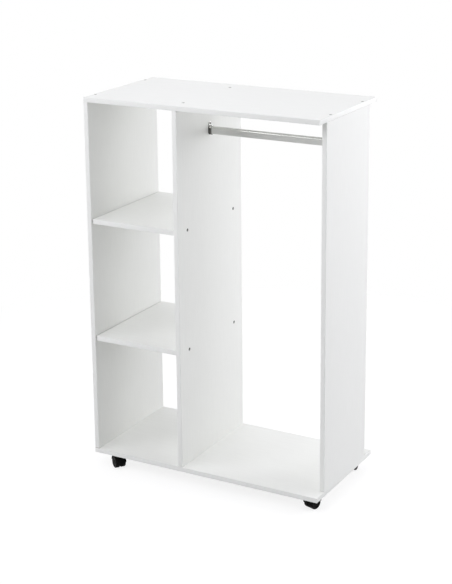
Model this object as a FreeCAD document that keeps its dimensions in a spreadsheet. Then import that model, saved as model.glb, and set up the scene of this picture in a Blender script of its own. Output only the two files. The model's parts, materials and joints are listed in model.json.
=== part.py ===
import FreeCAD, Part
import math
import os
import re
import Sketcher

# Open wardrobe on castors: a shelf column, a hanging bay with a rail, open front and back.
# Frame: millimetres, +Z up, front towards -Y, shelf column towards -X, origin on the floor
# below the middle of the carcass.

# Driving sizes

SIZES = [
    ("overall_width", 800, "left side to right side"),
    ("overall_depth", 400, "front to back of the top and bottom panels"),
    ("board_thickness", 15, "every board"),
    ("column_width", 300, "clear width of the shelf column"),
    ("compartment_height", 371, "clear height of each of the three compartments"),
    ("right_panel_depth", 300, "front to back of the narrow right side panel"),
    ("shelf_setback", 5, "front of a shelf behind the front of the carcass"),
    ("shelf_end_gap", 1.2, "joint line between a shelf end and the board beside it"),
    ("edging_thickness", 0.6, "strip glued on the edges that show"),
    ("connector_length", 50, "connector screw, head face to point"),
    ("connector_diameter", 6.3, "connector screw, shank"),
    ("connector_head_diameter", 10, "connector screw, head face"),
    ("connector_head_height", 3, "connector screw, cone under the head face"),
    ("connector_point_length", 4, "connector screw, point"),
    ("connector_point_diameter", 3, "connector screw, blunt end of the point"),
    ("connector_sink", 0.3, "head face below the board face"),
    ("hexagon_width", 4, "key socket, across flats"),
    ("hexagon_depth", 2.5, "key socket, below the head face"),
    ("connector_edge_distance", 56, "connector to the front or back of a deep board"),
    ("narrow_edge_distance", 38.5, "connector to the front or back of the narrow board"),
    ("screw_fit", 0.05, "gap around a screw or pin in its hole"),
    ("drill_overrun", 1, "hole deeper than the screw that it holds"),
    ("small_screw_length", 12, "small screw, below its head"),
    ("small_screw_diameter", 3.5, "small screw, shank"),
    ("small_screw_head_diameter", 7, "small screw, pan head"),
    ("small_screw_head_height", 2, "small screw, pan head"),
    ("small_screw_point_length", 3, "small screw, point"),
    ("small_screw_point_diameter", 1, "small screw, blunt end of the point"),
    ("cross_length", 4, "cross recess in the pan head, end to end"),
    ("cross_width", 1, "cross recess, slot width"),
    ("cross_depth", 1.2, "cross recess, depth"),
    ("rail_height", 25, "oval rail, top to bottom"),
    ("rail_depth", 13, "oval rail, front to back"),
    ("rail_wall", 1.2, "oval rail, tube wall"),
    ("rail_drop", 93, "rail centre below the top panel"),
    ("rail_end_gap", 0.25, "rail end to the socket floor"),
    ("socket_length", 10, "rail socket, out from the board"),
    ("socket_floor", 2, "rail socket, floor and ear thickness"),
    ("socket_wall", 2, "rail socket, around the rail"),
    ("socket_fit", 0.15, "gap between rail and socket"),
    ("ear_rise", 6, "ear screw above the top of the cup"),
    ("ear_width", 13, "ear of the rail socket"),
    ("castor_inset_side", 52, "kingpin to the side of the carcass"),
    ("castor_inset_front", 46, "kingpin to the front or back of the carcass"),
    ("castor_trail", 19, "kingpin to the axle"),
    ("castor_neck", 7, "top of the hood's guard to the mounting plate"),
    ("wheel_diameter", 40, "castor wheel"),
    ("wheel_width", 14.5, "one castor wheel"),
    ("wheel_gap", 0.5, "wheel to the web between the wheels"),
    ("wheel_inner_round", 1, "round on the inner edge of the tread"),
    ("wheel_outer_round", 3, "round on the outer edge of the tread"),
    ("wheel_rim", 4.5, "rim, from the dish to the tread"),
    ("wheel_dish_depth", 1.5, "dish in the outer face of a wheel"),
    ("hub_diameter", 13, "raised hub of a wheel"),
    ("hub_floor", 2, "closed end of the axle hole in a wheel"),
    ("web_width", 4.8, "hood, web between the wheels"),
    ("web_margin", 2.5, "hood, web inside the tread of the wheels"),
    ("neck_diameter", 11, "hood, round neck above the wheels"),
    ("guard_clearance", 1, "hood, gap over the wheels"),
    ("guard_thickness", 2, "hood, shell over the wheels"),
    ("guard_lift", 2, "hood, lower edge of the shell above the axle"),
    ("boss_diameter", 14, "hood, round boss under the plate"),
    ("axle_diameter", 5, "castor axle"),
    ("axle_fit", 0.05, "gap around the axle"),
    ("axle_chamfer", 0.5, "broken edge at each end of the axle"),
    ("kingpin_diameter", 7, "castor kingpin"),
    ("kingpin_length", 10.5, "kingpin below the plate"),
    ("kingpin_fit", 0.08, "gap around the kingpin"),
    ("kingpin_chamfer", 0.9, "broken edge at the lower end of the kingpin"),
    ("collar_diameter", 12, "collar of the kingpin under the plate"),
    ("collar_height", 1, "collar of the kingpin under the plate"),
    ("swivel_gap", 0.1, "collar to the boss of the hood"),
    ("plate_width", 38, "square mounting plate"),
    ("plate_thickness", 2, "square mounting plate"),
    ("plate_hole_margin", 5, "screw hole to the edge of the plate"),
    ("plate_hole_fit", 0.2, "gap around a small screw in the plate or the socket"),
    ("heading_front_left", 234, "turn of the front left castor, degrees"),
    ("heading_front_right", 342, "turn of the front right castor, degrees"),
    ("heading_rear_left", 205, "turn of the rear left castor, degrees"),
    ("heading_rear_right", 5, "turn of the rear right castor, degrees"),
]

# Places and sizes that follow from the driving sizes

DERIVED = {
    "half_width": "overall_width / 2",
    "half_depth": "overall_depth / 2",
    "plate_underside": "wheel_diameter + guard_clearance + guard_thickness + castor_neck",
    "castor_top": "plate_underside + plate_thickness",
    "bottom_face": "castor_top + board_thickness",
    "upright_height": "3 * compartment_height + 2 * board_thickness",
    "top_underside": "bottom_face + upright_height",
    "top_face": "top_underside + board_thickness",
    "left_inner": "board_thickness - half_width",
    "divider_left": "left_inner + column_width",
    "divider_right": "divider_left + board_thickness",
    "right_inner": "half_width - board_thickness",
    "left_middle": "left_inner - board_thickness / 2",
    "divider_middle": "divider_left + board_thickness / 2",
    "right_middle": "right_inner + board_thickness / 2",
    "lower_shelf_underside": "bottom_face + compartment_height",
    "upper_shelf_underside": "lower_shelf_underside + board_thickness + compartment_height",
    "lower_shelf_middle": "lower_shelf_underside + board_thickness / 2",
    "upper_shelf_middle": "upper_shelf_underside + board_thickness / 2",
    "deep_row": "half_depth - connector_edge_distance",
    "narrow_row": "right_panel_depth / 2 - narrow_edge_distance",
    "rail_middle": "top_underside - rail_drop",
    "bay_width": "right_inner - divider_right",
    "cup_height": "rail_height + 2 * socket_fit + 2 * socket_wall",
    "cup_depth": "rail_depth + 2 * socket_fit + 2 * socket_wall",
    "ear_screw_rise": "cup_height / 2 + ear_rise",
    "wheel_radius": "wheel_diameter / 2",
    "castor_width": "web_width + 2 * wheel_gap + 2 * wheel_width",
    "guard_inner_radius": "wheel_radius + guard_clearance",
    "guard_radius": "guard_inner_radius + guard_thickness",
    "boss_top": "plate_underside - collar_height - swivel_gap",
    "boss_underside": "wheel_diameter + guard_clearance",
    "kingpin_bottom": "plate_underside - kingpin_length",
    "kingpin_hole_bottom": "kingpin_bottom - drill_overrun",
    "plate_hole_place": "plate_width / 2 - plate_hole_margin",
    "small_hole_diameter": "small_screw_diameter + 2 * plate_hole_fit",
    "castor_side": "half_width - castor_inset_side",
    "castor_front": "half_depth - castor_inset_front",
}

doc = FreeCAD.newDocument("open_wardrobe")
sheet = doc.addObject("Spreadsheet::Sheet", "Sizes")
for row, (alias, size, note) in enumerate(SIZES, start=1):
    sheet.set(f"A{row}", note)
    sheet.set(f"B{row}", str(size))
    sheet.setAlias(f"B{row}", alias)
doc.recompute()
ALIASES = {alias for alias, size, note in SIZES}
UP = FreeCAD.Vector(0, 0, 1)
sub_parts = []


# Formulas

def formula(words):
    """Sheet formula for an expression written with the names of sizes."""
    def spell(found):
        name = found.group()
        if name in DERIVED:
            return "(" + formula(DERIVED[name]) + ")"
        return f"Sizes.{name}" if name in ALIASES else name
    return re.sub(r"[a-z]+(_[a-z]+)*", spell, words)


def value(words):
    """Number that a formula gives now."""
    return float(sheet.evalExpression(formula(words)))


def bind(item, **formulas):
    """Tie properties of an object to formulas."""
    for name, words in formulas.items():
        item.setExpression(name, formula(words))
    return item


def place(item, x="0", y="0", z="0", turn=None, axis=UP):
    """Tie an object's position to formulas, and its turn about an axis if one is given."""
    if turn is not None:
        item.Placement.Rotation = FreeCAD.Rotation(axis, 1)
        item.setExpression("Placement.Rotation.Angle", formula(turn))
    for letter, words in zip("xyz", (x, y, z)):
        item.setExpression(f"Placement.Base.{letter}", formula(words))
    return item


# Solids

RIGHT = {"turn": "90", "axis": FreeCAD.Vector(0, 1, 0)}
LEFT = {"turn": "-90", "axis": FreeCAD.Vector(0, 1, 0)}
DOWN = {"turn": "180", "axis": FreeCAD.Vector(1, 0, 0)}


def box(name, low, high):
    """Block between two corners, each given as three formulas."""
    block = doc.addObject("Part::Box", name)
    for side, start, end in zip(("Length", "Width", "Height"), low, high):
        block.setExpression(side, formula(f"({end}) - ({start})"))
    return place(block, *low)


def cylinder(name, diameter, length, x="0", y="0", z="0", **turn):
    """Round bar that starts at the given place and runs along +Z, or along its turned +Z."""
    bar = doc.addObject("Part::Cylinder", name)
    bind(bar, Radius=f"({diameter}) / 2", Height=length)
    return place(bar, x, y, z, **turn)


def cone(name, start_diameter, end_diameter, length, z="0"):
    """Cone along +Z."""
    taper = doc.addObject("Part::Cone", name)
    bind(taper, Radius1=f"({start_diameter}) / 2", Radius2=f"({end_diameter}) / 2", Height=length)
    return place(taper, z=z)


def join(name, pieces):
    """One solid made from pieces that overlap."""
    whole = doc.addObject("Part::MultiFuse", name)
    whole.Shapes = pieces
    whole.Refine = True
    return whole


def cut(name, base, tools):
    """A solid with the tools taken out of it."""
    result = doc.addObject("Part::Cut", name)
    result.Base = base
    result.Tool = tools[0] if len(tools) == 1 else join(name + "_tools", tools)
    return result


def oval(name, height, depth, length, start="0"):
    """Flat-sided oval bar along +X, standing upright."""
    straight = f"({height}) / 2 - ({depth}) / 2"
    middle = box(name + "_middle", (start, f"-({depth}) / 2", f"-({straight})"),
                 (f"({start}) + ({length})", f"({depth}) / 2", straight))
    ends = [cylinder(f"{name}_{end}", depth, length, start, "0", f"{sign}({straight})", **RIGHT)
            for end, sign in (("upper", ""), ("lower", "-"))]
    return join(name, [middle] + ends)


def sketch_on(body, name, role):
    """Sketch on one of the body's own origin planes."""
    sketch = body.newObject("Sketcher::SketchObject", name)
    plane = [item for item in body.Origin.OriginFeatures if item.Role == role][0]
    sketch.AttachmentSupport = (plane, [""])
    sketch.MapMode = "FlatFace"
    return sketch


def constrain(sketch, words, *what):
    """Add a dimension to a sketch and tie it to a formula."""
    index = sketch.addConstraint(Sketcher.Constraint(*what, value(words)))
    sketch.setExpression(f"Constraints[{index}]", formula(words))


def rounded_side(start, end, radius):
    """Arc that turns left from start to end."""
    chord = end - start
    leftwards = FreeCAD.Vector(-chord.y, chord.x, 0).normalize()
    centre = (start + end) / 2 + leftwards * math.sqrt(radius ** 2 - chord.Length ** 2 / 4)
    angles = [math.atan2(point.y - centre.y, point.x - centre.x) for point in (start, end)]
    return Part.ArcOfCircle(Part.Circle(centre, UP, radius), *angles)


def outline(sketch, corners):
    """Closed outline, anticlockwise. A corner is two formulas, and a third is the radius of an
    arc from it to the next corner."""
    points = [FreeCAD.Vector(value(corner[0]), value(corner[1]), 0) for corner in corners]
    for corner, start, end in zip(corners, points, points[1:] + points[:1]):
        side = Part.LineSegment(start, end)
        if len(corner) == 3:
            side = rounded_side(start, end, value(corner[2]))
        sketch.addGeometry(side)
    for index, corner in enumerate(corners):
        after = (index + 1) % len(corners)
        sketch.addConstraint(Sketcher.Constraint("Coincident", index, 2, after, 1))
        constrain(sketch, corner[0], "DistanceX", -1, 1, index, 1)
        constrain(sketch, corner[1], "DistanceY", -1, 1, index, 1)
        if len(corner) == 3:
            constrain(sketch, corner[2], "Radius", index)


def turned(name, role, axis, corners):
    """Body turned from an outline about an axis of its sketch."""
    body = doc.addObject("PartDesign::Body", name)
    sketch = sketch_on(body, name + "_outline", role)
    outline(sketch, corners)
    revolution = body.newObject("PartDesign::Revolution", name + "_turned")
    revolution.Profile = sketch
    revolution.ReferenceAxis = (sketch, [axis])
    revolution.Angle = 360
    return body


def copies(name, master, places):
    """Group of separate, identical solids, one at each place."""
    links = []
    for index, spot in enumerate(places):
        link = doc.addObject("App::Link", f"{name}_{index}")
        link.LinkedObject = master
        links.append(place(link, **spot))
    group = doc.addObject("Part::Compound", name)
    group.Links = links
    return group


def keep(item, label):
    """Name a finished sub-part."""
    item.Label = label
    sub_parts.append(item)
    return item


# Screws


def connector_screw():
    """Connector screw along +Z, with the face of its sunk head at the origin."""
    shank = "connector_length - connector_point_length"
    solid = join("connector_solid", [
        cone("connector_head", "connector_head_diameter", "connector_diameter", "connector_head_height"),
        cylinder("connector_shank", "connector_diameter", shank),
        cone("connector_point", "connector_diameter", "connector_point_diameter",
             "connector_point_length", shank)])
    socket = doc.addObject("Part::Prism", "connector_hexagon")
    socket.Polygon = 6
    bind(socket, Circumradius="hexagon_width / sqrt(3)", Height="hexagon_depth")
    return cut("connector_screw", solid, [socket])


def connector_hole():
    """Hole for a connector screw, sunk for its head."""
    head = "connector_head_diameter + 2 * screw_fit"
    shank = "connector_diameter + 2 * screw_fit"
    return join("connector_hole", [
        cylinder("connector_mouth", head, "connector_sink + drill_overrun",
                 z="-connector_sink - drill_overrun"),
        cone("connector_sinking", head, shank, "connector_head_height"),
        cylinder("connector_drilling", shank, "connector_length + drill_overrun")])


def small_screw():
    """Pan-head screw along +Z, with the seat of its head at the origin."""
    shank = "small_screw_length - small_screw_point_length"
    head_face = "-small_screw_head_height"
    solid = join("small_screw_solid", [
        cylinder("small_screw_head", "small_screw_head_diameter", "small_screw_head_height", z=head_face),
        cylinder("small_screw_shank", "small_screw_diameter", shank),
        cone("small_screw_point", "small_screw_diameter", "small_screw_point_diameter",
             "small_screw_point_length", shank)])
    rounded = doc.addObject("Part::Fillet", "small_screw_rounded")
    doc.recompute()
    rim = [index for index, edge in enumerate(solid.Shape.Edges, start=1)
           if edge.Closed and edge.CenterOfMass.z < value(head_face) / 2]
    radius = value("small_screw_head_height / 2")
    rounded.Base = solid
    rounded.Edges = [(index, radius, radius) for index in rim]
    half_length = "cross_length / 2"
    half_width = "cross_width / 2"
    depth = f"{head_face} + cross_depth"
    slots = [
        box("small_screw_slot", (f"-{half_length}", f"-{half_width}", head_face),
            (half_length, half_width, depth)),
        box("small_screw_cross_slot", (f"-{half_width}", f"-{half_length}", head_face),
            (half_width, half_length, depth))]
    return cut("small_screw", rounded, slots)


def small_hole():
    """Pilot hole for a small screw, in the board behind what the screw holds."""
    return cylinder("small_hole", "small_screw_diameter + 2 * screw_fit",
                    "small_screw_length + drill_overrun")


CONNECTOR = connector_screw()
CONNECTOR_HOLE = connector_hole()
SMALL_SCREW = small_screw()
SMALL_HOLE = small_hole()

UPRIGHT_ROWS = [
    ("left_middle", "deep_row"),
    ("divider_middle", "deep_row"),
    ("right_middle", "narrow_row"),
]
TOP_SPOTS = [dict(x=across, y=f"{sign}{row}", z="top_face - connector_sink", **DOWN)
             for across, row in UPRIGHT_ROWS for sign in ("-", "")]
BOTTOM_SPOTS = [dict(x=across, y=f"{sign}{row}", z="castor_top + connector_sink")
                for across, row in UPRIGHT_ROWS for sign in ("-", "")]
SHELF_HEIGHTS = ["lower_shelf_middle", "upper_shelf_middle"]
LEFT_SPOTS = [dict(x="connector_sink - half_width", y=f"{sign}deep_row", z=height, **RIGHT)
              for height in SHELF_HEIGHTS for sign in ("-", "")]
DIVIDER_SPOTS = [dict(x="divider_right - connector_sink", y=f"{sign}deep_row", z=height, **LEFT)
                 for height in SHELF_HEIGHTS for sign in ("-", "")]
EAR_SPOTS = ["rail_middle", "rail_middle + ear_screw_rise"]
LEFT_SOCKET_SPOTS = [dict(x="divider_right + socket_floor", z=height, **LEFT) for height in EAR_SPOTS]
RIGHT_SOCKET_SPOTS = [dict(x="right_inner - socket_floor", z=height, **RIGHT) for height in EAR_SPOTS]
CASTORS = {
    "front_left": ("-castor_side", "-castor_front", "heading_front_left"),
    "front_right": ("castor_side", "-castor_front", "heading_front_right"),
    "rear_left": ("-castor_side", "castor_front", "heading_rear_left"),
    "rear_right": ("castor_side", "castor_front", "heading_rear_right"),
}
PLATE_HOLES = [(f"{side}plate_hole_place", f"{end}plate_hole_place")
               for side in ("-", "") for end in ("-", "")]


def plate_screw_spots(castor):
    """The four screws of a castor's mounting plate, which stands square to the carcass."""
    across, along, heading = CASTORS[castor]
    return [dict(x=f"{across} + ({x})", y=f"{along} + ({y})", z="plate_underside") for x, y in PLATE_HOLES]


# Boards and their edging

def strips(label, *corners):
    """Edging of one board, as separate strips."""
    group = doc.addObject("Part::Compound", label + "_strips")
    group.Links = [box(f"{label}_strip_{index}", low, high) for index, (low, high) in enumerate(corners)]
    return keep(group, label)


def drilled_board(label, low, high, connectors, screws=()):
    """Board with the holes for its connector screws and small screws."""
    tools = [copies(label + "_connector_holes", CONNECTOR_HOLE, connectors)]
    if screws:
        tools.append(copies(label + "_small_holes", SMALL_HOLE, screws))
    return keep(cut(label + "_drilled", box(label + "_blank", low, high), tools), label)


def flat_panel(label, underside, connectors, screws=()):
    """Top or bottom panel, edged all round."""
    face = f"{underside} + board_thickness"
    side = "half_width - edging_thickness"
    front = "half_depth - edging_thickness"
    drilled_board(label, (f"-({side})", f"-({front})", underside), (side, front, face), connectors, screws)
    strips(label + "_edging",
           (("-half_width", "-half_depth", underside), ("half_width", f"-({front})", face)),
           (("-half_width", front, underside), ("half_width", "half_depth", face)),
           (("-half_width", f"-({front})", underside), (f"-({side})", front, face)),
           ((side, f"-({front})", underside), ("half_width", front, face)))


def edged_board(label, left, right, front, back, underside, face, connectors, screws=()):
    """Board with edging along its front and its back."""
    core_front = f"({front}) + edging_thickness"
    core_back = f"({back}) - edging_thickness"
    drilled_board(label, (left, core_front, underside), (right, core_back, face), connectors, screws)
    strips(label + "_edging",
           ((left, front, underside), (right, core_front, face)),
           ((left, core_back, underside), (right, back, face)))


def upright(label, left, half_span, connectors, screws=()):
    """Upright board between the bottom panel and the top panel, and the connectors that meet it."""
    edged_board(label, left, f"{left} + board_thickness", f"-{half_span}", half_span,
                "bottom_face", "top_underside", connectors, screws)
    group = label.replace("panel", "connector_screws")
    keep(copies(group + "_group", CONNECTOR, connectors), group)


def shelf(label, underside, height):
    """Fixed shelf between the left side panel and the divider."""
    spots = [spot for spot in LEFT_SPOTS + DIVIDER_SPOTS if spot["z"] == height]
    edged_board(label, "left_inner + shelf_end_gap", "divider_left - shelf_end_gap",
                "shelf_setback - half_depth", "half_depth",
                underside, f"{underside} + board_thickness", spots)


def ends_of(across):
    """Connectors that enter an upright through the top and bottom panels."""
    return [spot for spot in TOP_SPOTS + BOTTOM_SPOTS if spot["x"] == across]


def boards():
    plate_screws = [spot for castor in CASTORS for spot in plate_screw_spots(castor)]
    flat_panel("top_panel", "top_underside", TOP_SPOTS)
    flat_panel("bottom_panel", "castor_top", BOTTOM_SPOTS, plate_screws)
    upright("left_side_panel", "-half_width", "half_depth", ends_of("left_middle") + LEFT_SPOTS)
    upright("divider_panel", "divider_left", "half_depth",
            ends_of("divider_middle") + DIVIDER_SPOTS, LEFT_SOCKET_SPOTS)
    upright("right_side_panel", "right_inner", "right_panel_depth / 2",
            ends_of("right_middle"), RIGHT_SOCKET_SPOTS)
    shelf("lower_shelf", "lower_shelf_underside", "lower_shelf_middle")
    shelf("upper_shelf", "upper_shelf_underside", "upper_shelf_middle")


# Clothes rail

def rail():
    """Oval tube between the floors of the two sockets."""
    length = "bay_width - 2 * socket_floor - 2 * rail_end_gap"
    inner_height = "rail_height - 2 * rail_wall"
    inner_depth = "rail_depth - 2 * rail_wall"
    tube = cut("rail_tube", oval("rail_outside", "rail_height", "rail_depth", length),
               [oval("rail_inside", inner_height, inner_depth, length)])
    place(tube, "divider_right + socket_floor + rail_end_gap", "0", "rail_middle")
    keep(tube, "clothes_rail")


def rail_socket(label, **spot):
    """Cup for a rail end, open along +X, with a screw ear above it."""
    ear = [
        box(label + "_ear_strap", ("0", "-ear_width / 2", "0"),
            ("socket_floor", "ear_width / 2", "ear_screw_rise")),
        cylinder(label + "_ear_end", "ear_width", "socket_floor", z="ear_screw_rise", **RIGHT)]
    cup = oval(label + "_cup", "cup_height", "cup_depth", "socket_length")
    inside = oval(label + "_inside", "rail_height + 2 * socket_fit", "rail_depth + 2 * socket_fit",
                  "socket_length - socket_floor", "socket_floor")
    holes = [cylinder(f"{label}_hole_{index}", "small_hole_diameter", "socket_floor", z=height, **RIGHT)
             for index, height in enumerate(("0", "ear_screw_rise"))]
    socket = cut(label + "_drilled", join(label + "_blank", ear + [cup]), [inside] + holes)
    keep(place(socket, **spot), label)


def rail_and_sockets():
    rail()
    rail_socket("rail_socket_left", x="divider_right", z="rail_middle")
    rail_socket("rail_socket_right", x="right_inner", z="rail_middle", turn="180")
    keep(copies("left_socket_screws", SMALL_SCREW, LEFT_SOCKET_SPOTS), "rail_socket_screws_left")
    keep(copies("right_socket_screws", SMALL_SCREW, RIGHT_SOCKET_SPOTS), "rail_socket_screws_right")


# Castors: each is drawn with its kingpin at the origin and its axle behind it, towards +Y

def plate(name):
    """Square mounting plate with holes for the kingpin and four screws."""
    half = "plate_width / 2"
    blank = box(name + "_blank", (f"-{half}", f"-{half}", "plate_underside"), (half, half, "castor_top"))
    holes = [cylinder(f"{name}_hole_{index}", "small_hole_diameter", "plate_thickness",
                      x, y, "plate_underside")
             for index, (x, y) in enumerate(PLATE_HOLES)]
    holes.append(cylinder(name + "_pin_hole", "kingpin_diameter + 2 * screw_fit", "plate_thickness",
                          z="plate_underside"))
    return cut(name, blank, holes)


def kingpin(name):
    """Pin with a collar under the plate and a blunt lower end."""
    radius = "kingpin_diameter / 2"
    collar = "collar_diameter / 2"
    collar_low = "plate_underside - collar_height"
    return turned(name, "XZ_Plane", "V_Axis", [
        ("0", "kingpin_bottom"), (f"{radius} - kingpin_chamfer", "kingpin_bottom"),
        (radius, "kingpin_bottom + kingpin_chamfer"), (radius, collar_low), (collar, collar_low),
        (collar, "plate_underside"), (radius, "plate_underside"), (radius, "castor_top"),
        ("0", "castor_top")])


def hood(name):
    """Swivelling fork: a web and rib between the wheels, a guard over them and a neck round the kingpin."""
    def crosswise(part, diameter, width):
        return cylinder(f"{name}_{part}", diameter, width,
                        f"-({width}) / 2", "castor_trail", "wheel_radius", **RIGHT)

    def below(part, height):
        reach = "guard_radius + castor_trail"
        return box(f"{name}_{part}", (f"-({reach})", f"-({reach})", "-guard_radius"),
                   (reach, f"2 * ({reach})", height))
    guard = cut(name + "_guard", crosswise("guard_outside", "2 * guard_radius", "castor_width"), [
        crosswise("guard_inside", "2 * guard_inner_radius", "castor_width"),
        below("guard_trim", "wheel_radius + guard_lift")])
    web = crosswise("web", "wheel_diameter - 2 * web_margin", "web_width")
    disc = crosswise("crest_disc", "2 * guard_radius - guard_thickness", "web_width")
    crest = cut(name + "_crest", disc, [below("crest_trim", "wheel_radius + guard_lift")])
    rib = box(name + "_rib", ("-web_width / 2", "-neck_diameter / 2", "wheel_radius + guard_lift"),
              ("web_width / 2", "castor_trail", "boss_underside"))
    neck_low = "kingpin_hole_bottom - guard_thickness"
    neck = cylinder(name + "_neck", "neck_diameter", f"boss_top - ({neck_low})", z=neck_low)
    boss = cylinder(name + "_boss", "boss_diameter", "boss_top - (boss_underside)", z="boss_underside")
    bores = [
        cylinder(name + "_pin_bore", "kingpin_diameter + 2 * kingpin_fit",
                 "boss_top - (kingpin_hole_bottom)", z="kingpin_hole_bottom"),
        crosswise("axle_bore", "axle_diameter + 2 * axle_fit", "web_width")]
    return cut(name, join(name + "_blank", [guard, web, crest, rib, neck, boss]), bores)


def axle(name):
    """Pin across the web, with a wheel on each end."""
    end = "castor_width / 2 - hub_floor - axle_fit"
    radius = "axle_diameter / 2"
    return turned(name, "XY_Plane", "H_Axis", [
        (f"-({end})", "0"), (end, "0"), (end, f"{radius} - axle_chamfer"),
        (f"{end} - axle_chamfer", radius), (f"-({end}) + axle_chamfer", radius),
        (f"-({end})", f"{radius} - axle_chamfer")])


def wheel(name):
    """Wheel on the +X side of the web, dished outside round its hub, with a blind axle hole."""
    inner = "web_width / 2 + wheel_gap"
    outer = "castor_width / 2"
    hole = "axle_diameter / 2 + axle_fit"
    hole_end = f"{outer} - hub_floor"
    dish = f"{outer} - wheel_dish_depth"
    hub = "hub_diameter / 2"
    dish_edge = "wheel_radius - wheel_rim"
    return turned(name, "XY_Plane", "H_Axis", [
        (inner, hole), (hole_end, hole), (hole_end, "0"), (outer, "0"),
        (outer, hub), (dish, f"{hub} + wheel_dish_depth"),
        (dish, f"{dish_edge} - wheel_dish_depth"), (outer, dish_edge),
        (outer, "wheel_radius - wheel_outer_round", "wheel_outer_round"),
        (f"{outer} - wheel_outer_round", "wheel_radius"),
        (f"{inner} + wheel_inner_round", "wheel_radius", "wheel_inner_round"),
        (inner, "wheel_radius - wheel_inner_round")])


def castor(corner):
    """One castor: its plate stands square, and all below it is turned to its heading."""
    across, along, heading = CASTORS[corner]
    label = corner + "_castor"
    back = dict(x=f"{across} - castor_trail * sin({heading})", y=f"{along} + castor_trail * cos({heading})")
    keep(place(plate(label + "_plate_drilled"), across, along), label + "_plate")
    keep(place(kingpin(label + "_kingpin_body"), across, along), label + "_kingpin")
    keep(place(hood(label + "_hood_bored"), across, along, turn=heading), label + "_hood")
    axle_body = place(axle(label + "_axle_body"), z="wheel_radius", turn=heading, **back)
    keep(axle_body, label + "_axle")
    for side, turn in (("right", heading), ("left", f"{heading} + 180")):
        body = place(wheel(f"{label}_wheel_{side}_body"), z="wheel_radius", turn=turn, **back)
        keep(body, f"{label}_wheel_{side}")
    keep(copies(label + "_plate_screws", SMALL_SCREW, plate_screw_spots(corner)), label + "_screws")


boards()
rail_and_sockets()
for corner in CASTORS:
    castor(corner)
doc.recompute()

# Test the document, then write one file per sub-part

failed = [item.Label for item in doc.Objects if {"Invalid", "Error"} & set(item.State)]
hollow = [item.Label for item in sub_parts if item.Shape.isNull() or not item.Shape.isValid()
          or not item.Shape.Solids]
if failed or hollow:
    raise RuntimeError(f"objects that failed: {failed}, shapes that are not sound: {hollow}")
os.makedirs("parts", exist_ok=True)
for item in sub_parts:
    item.Shape.exportStep(f"parts/{item.Label}.step")
print(f"{len(sub_parts)} sub-parts written")
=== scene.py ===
import json
import math

import bmesh
import bpy
from mathutils import Matrix, Vector

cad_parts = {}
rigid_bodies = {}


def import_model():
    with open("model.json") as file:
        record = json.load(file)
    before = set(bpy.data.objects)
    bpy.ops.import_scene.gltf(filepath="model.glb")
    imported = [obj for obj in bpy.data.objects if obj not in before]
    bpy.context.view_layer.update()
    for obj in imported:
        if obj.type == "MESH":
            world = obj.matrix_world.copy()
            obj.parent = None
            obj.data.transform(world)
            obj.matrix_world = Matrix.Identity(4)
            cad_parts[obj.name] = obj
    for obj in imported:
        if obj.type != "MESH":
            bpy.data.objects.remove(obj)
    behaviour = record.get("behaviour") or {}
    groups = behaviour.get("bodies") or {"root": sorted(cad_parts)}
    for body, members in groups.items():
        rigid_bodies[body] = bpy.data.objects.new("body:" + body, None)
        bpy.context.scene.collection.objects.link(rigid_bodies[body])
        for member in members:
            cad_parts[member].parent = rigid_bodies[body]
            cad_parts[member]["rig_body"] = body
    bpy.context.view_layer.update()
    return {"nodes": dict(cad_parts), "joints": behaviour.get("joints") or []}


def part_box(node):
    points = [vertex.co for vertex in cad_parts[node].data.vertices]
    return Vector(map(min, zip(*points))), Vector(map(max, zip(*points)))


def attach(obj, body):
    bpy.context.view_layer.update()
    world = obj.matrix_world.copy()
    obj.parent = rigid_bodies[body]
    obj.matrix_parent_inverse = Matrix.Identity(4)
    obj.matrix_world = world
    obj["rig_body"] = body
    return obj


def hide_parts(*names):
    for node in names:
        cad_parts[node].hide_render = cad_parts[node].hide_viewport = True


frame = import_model()

# Open wardrobe on castors. Metres, +Z up, front towards -Y, shelf column towards -X.

NODES = frame["nodes"]
JOINTS = {joint["name"]: joint for joint in frame["joints"]}
MM = 0.001
UP = Vector((0, 0, 1))
ACROSS = (0, math.pi / 2, 0)
WELD = 0.002 * MM
ON_PLANE = 0.01 * MM
SMOOTH_ANGLE = math.radians(32)

# Sizes of the pieces that their boxes in the frame don't give

EDGING_ROUND = 0.45 * MM
# Edging cut short at a panel's foot bares the darkened particles there: a painted shade line at the joint
EDGING_SHORT = {"left_side_panel": 1.3 * MM, "right_side_panel": 0.3 * MM}
CONNECTOR_HEXAGON = 4.0 * MM
CONNECTOR_HEXAGON_DEPTH = 2.5 * MM
CONNECTOR_SHANK = 6.3 * MM
CONNECTOR_HEAD = 3.0 * MM
CONNECTOR_POINT = 4.0 * MM
CONNECTOR_TIP = 3.0 * MM
CONNECTOR_BROKEN_EDGE = 0.2 * MM
SCREW_SHANK = 3.5 * MM
SCREW_HEAD = 2.0 * MM
SCREW_HEAD_ROUND = 0.6 * SCREW_HEAD
SCREW_POINT = 3.0 * MM
SCREW_TIP = 1.0 * MM
CROSS_LENGTH = 4.0 * MM
CROSS_WIDTH = 1.0 * MM
CROSS_DEPTH = 1.2 * MM
RAIL_WALL = 1.2 * MM
SOCKET_FLOOR = 2.0 * MM
SOCKET_EAR_WIDTH = 13.0 * MM
SOCKET_EAR_THICKNESS = 1.9 * MM
SOCKET_ROUND = 0.7 * MM
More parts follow.
